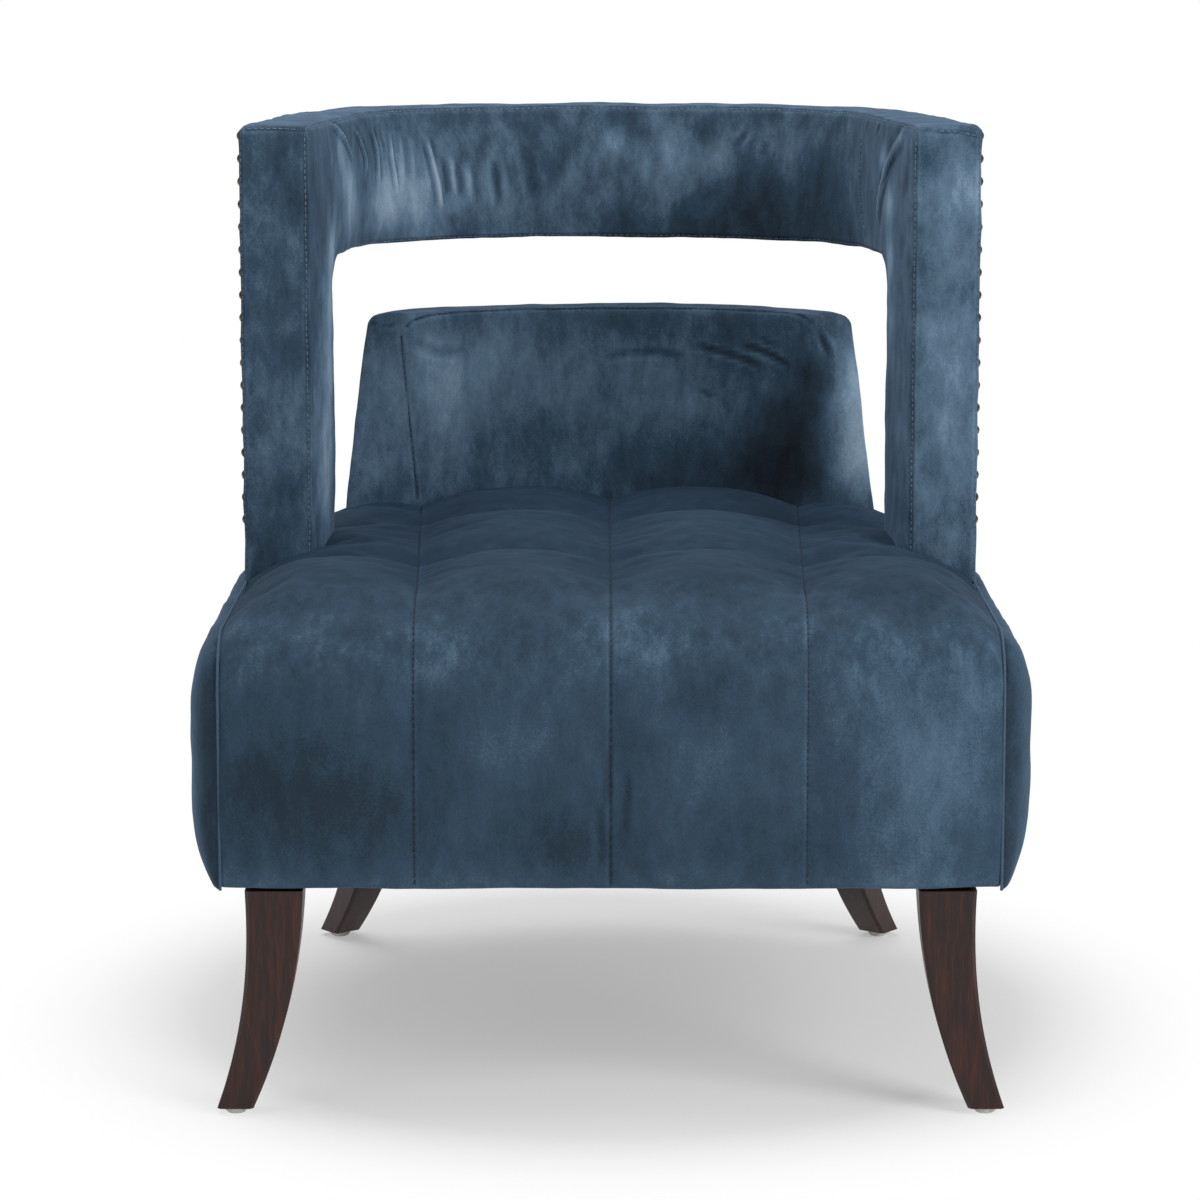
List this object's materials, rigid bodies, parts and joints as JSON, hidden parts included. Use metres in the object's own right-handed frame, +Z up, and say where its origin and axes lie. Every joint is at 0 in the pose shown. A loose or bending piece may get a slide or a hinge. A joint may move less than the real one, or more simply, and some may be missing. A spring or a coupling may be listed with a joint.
{
  "type": "accent chair",
  "caption": "Barrel accent chair with a sewn tufted seat, curved open-back top rail on posts, separate low back panel, velvet covers, nail trim and dark sabre legs.",
  "frame": {"origin": "on the floor under the middle of the chair's bounding box", "axes": "+Z up; the seat's front faces -Y; +X is the right of a front view"},
  "size_m": [0.74, 0.7763, 0.852],
  "materials": {
    "velvet": "blue-grey velvet with a soft, mottled nap",
    "foam": "upholstery foam with a fibre wrap, hidden",
    "frame_wood": "raw plywood and hardwood, hidden",
    "leg_walnut": "dark walnut stain with a satin lacquer",
    "nail_bronze": "dark antique bronze",
    "steel": "plain zinc-plated steel, hidden",
    "glide_nylon": "milky nylon",
    "felt": "grey insulator felt, hidden",
    "dust_cloth": "black non-woven cloth"
  },
  "bodies": {
    "root": {"base_rear_cover": "velvet", "base_rear_pad": "foam", "corner_blocks": "frame_wood", "dust_cover": "dust_cloth", "glides": "glide_nylon", "leg_bolts": "steel", "leg_front_left": "leg_walnut", "leg_front_right": "leg_walnut", "leg_rear_left": "leg_walnut", "leg_rear_right": "leg_walnut", "lower_back_end_cover_left": "velvet", "lower_back_end_cover_right": "velvet", "lower_back_inner_cover": "velvet", "lower_back_outer_cover": "velvet", "lower_back_pad": "foam", "lower_back_rib": "frame_wood", "lower_back_top_cover": "velvet", "lower_back_uprights": "frame_wood", "nails_left": "nail_bronze", "nails_rail_bottom": "nail_bronze", "nails_rail_top": "nail_bronze", "nails_right": "nail_bronze", "post_front_cover_left": "velvet", "post_front_cover_right": "velvet", "post_inner_cover_left": "velvet", "post_inner_cover_right": "velvet", "post_left": "frame_wood", "post_outer_cover_left": "velvet", "post_outer_cover_right": "velvet", "post_pad_left": "foam", "post_pad_right": "foam", "post_rear_cover_left": "velvet", "post_rear_cover_right": "velvet", "post_right": "frame_wood", "rail_blocks": "frame_wood", "rail_bottom_cover": "velvet", "rail_inner_cover": "velvet", "rail_outer_cover": "velvet", "rail_pad": "foam", "rail_rib_bottom": "frame_wood", "rail_rib_top": "frame_wood", "rail_top_cover": "velvet", "seat_cover": "velvet", "seat_foam": "foam", "seat_rail_front": "frame_wood", "seat_rail_left": "frame_wood", "seat_rail_rear": "frame_wood", "seat_rail_right": "frame_wood", "seat_springs": "steel", "side_cover_left": "velvet", "side_cover_right": "velvet", "side_pad_left": "foam", "side_pad_right": "foam", "spring_clips": "steel", "spring_pad": "felt"}
  },
  "joints": []
}
